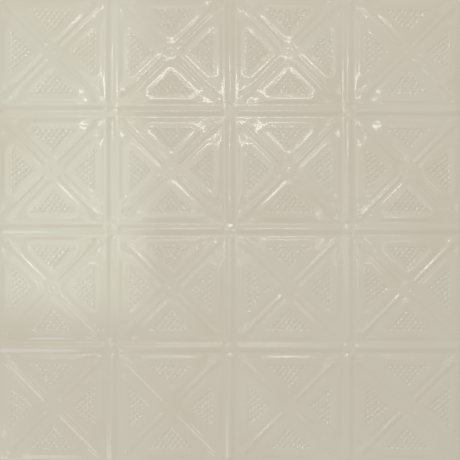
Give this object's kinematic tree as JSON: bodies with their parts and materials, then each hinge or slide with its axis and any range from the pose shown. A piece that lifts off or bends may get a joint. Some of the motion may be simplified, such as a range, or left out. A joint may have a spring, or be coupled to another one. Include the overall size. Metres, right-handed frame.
{
  "type": "pressed tin ceiling tile",
  "caption": "Thin pressed metal ceiling tile: a grid of squares parted by rounded ridges, each with a saltire, a boss and four framed triangular panels with pebbled fields, in cream enamel.",
  "frame": {"origin": "centre of the tile, on the plane of the back of its flat nailing lip", "axes": "+Z out of the pressed face, +X and +Y along the tile's sides"},
  "size_m": [0.6224, 0.6224, 0.0021],
  "materials": {
    "cream_enamel": "glossy cream enamel over thin pressed steel"
  },
  "bodies": {
    "root": {"pressed_sheet": "cream_enamel"}
  },
  "joints": []
}
